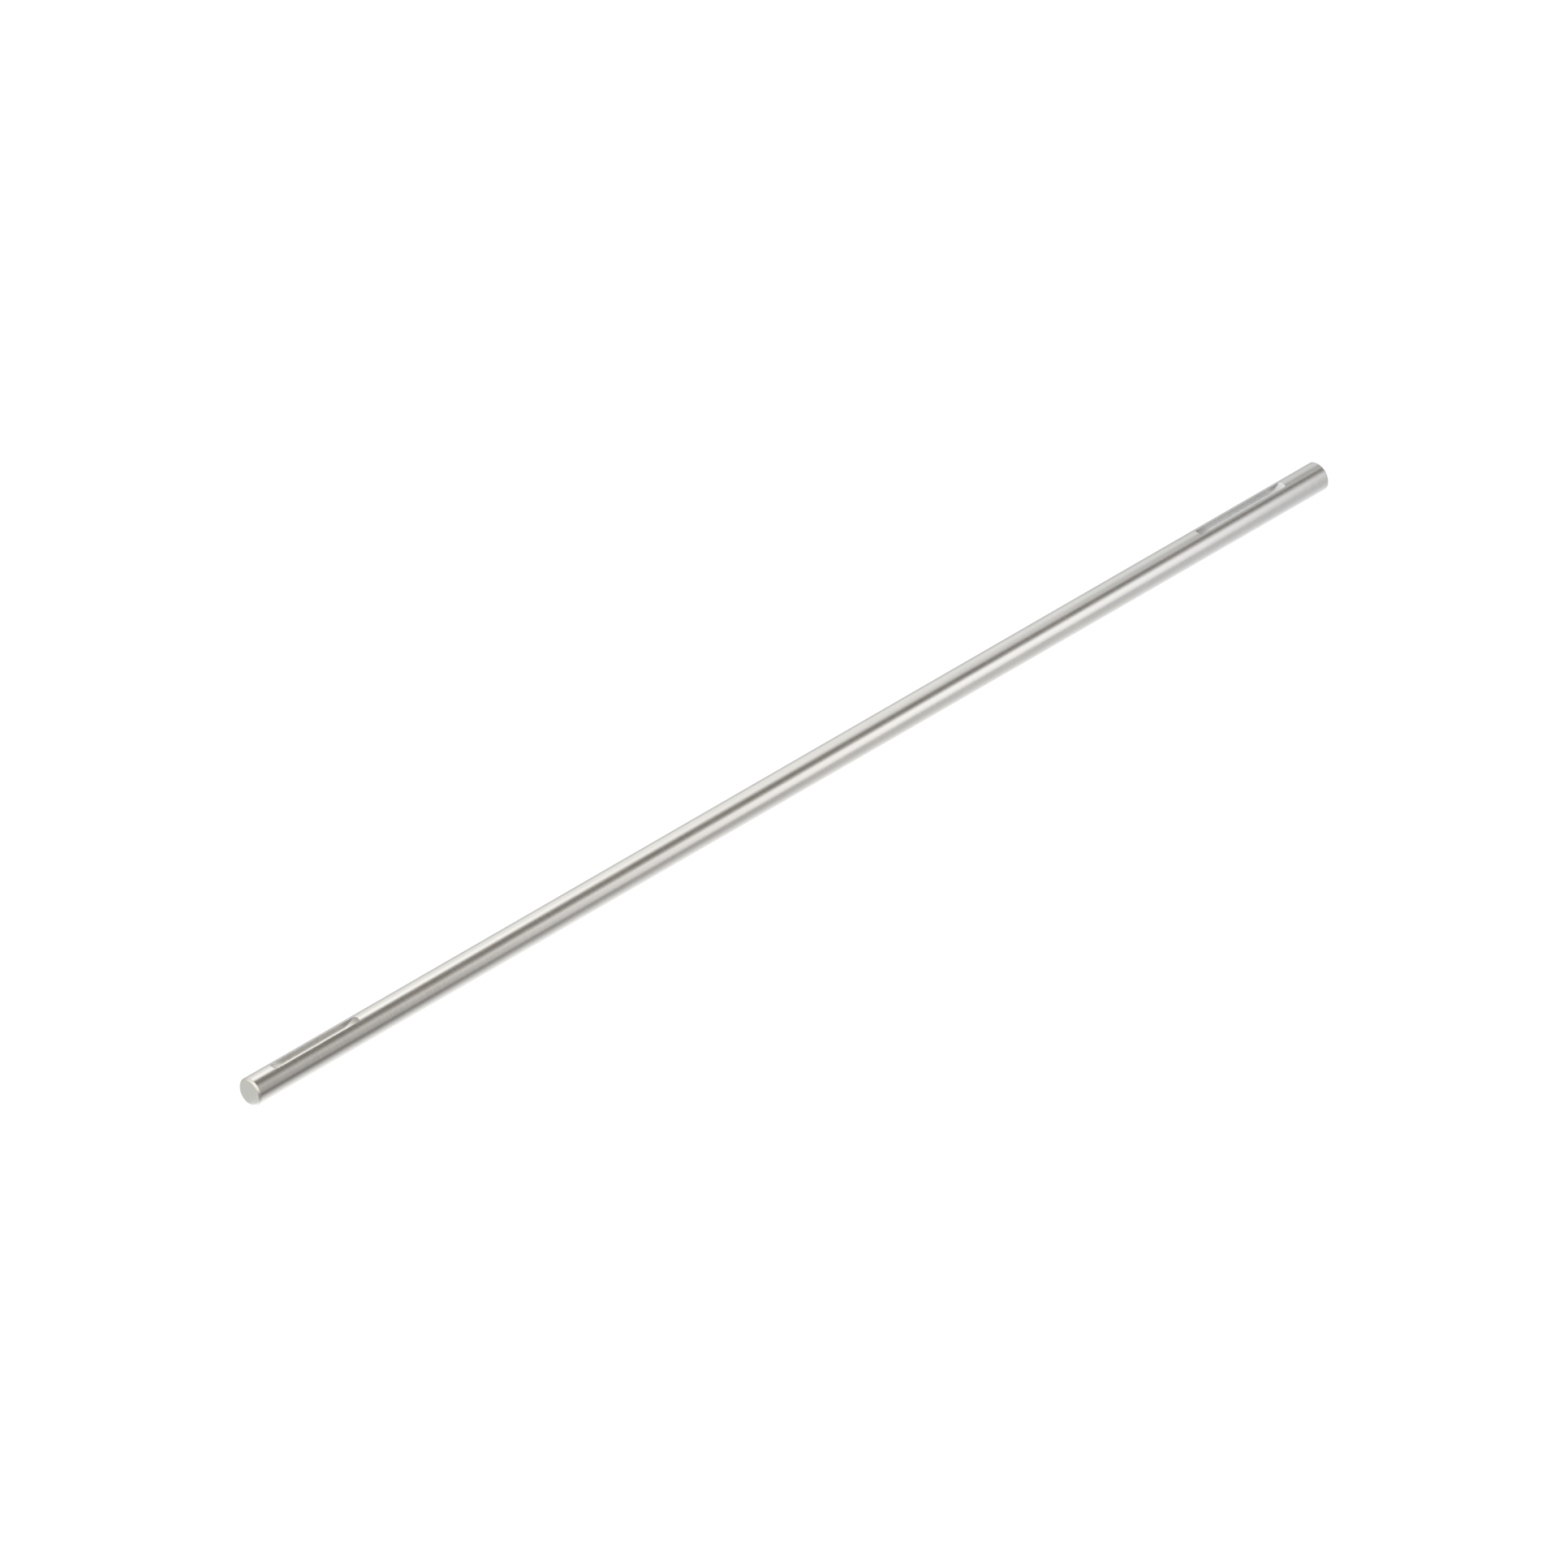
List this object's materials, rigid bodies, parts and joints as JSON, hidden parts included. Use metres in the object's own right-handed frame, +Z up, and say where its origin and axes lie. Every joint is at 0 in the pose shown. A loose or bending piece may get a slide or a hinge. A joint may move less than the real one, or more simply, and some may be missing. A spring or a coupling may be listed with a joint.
{
  "type": "machine shaft",
  "caption": "Long plain round steel shaft with chamfered ends and a closed sled-runner keyway near each end, both in line on top.",
  "frame": {"origin": "on the shaft's axis, midway between its two end faces", "axes": "+X along the shaft to the end with the longer plain land, +Z up through both keyways"},
  "size_m": [0.985, 0.02, 0.02],
  "materials": {
    "ground_steel": "bright ground steel with fine marks around the shaft"
  },
  "bodies": {
    "root": {"shaft": "ground_steel"}
  },
  "joints": []
}
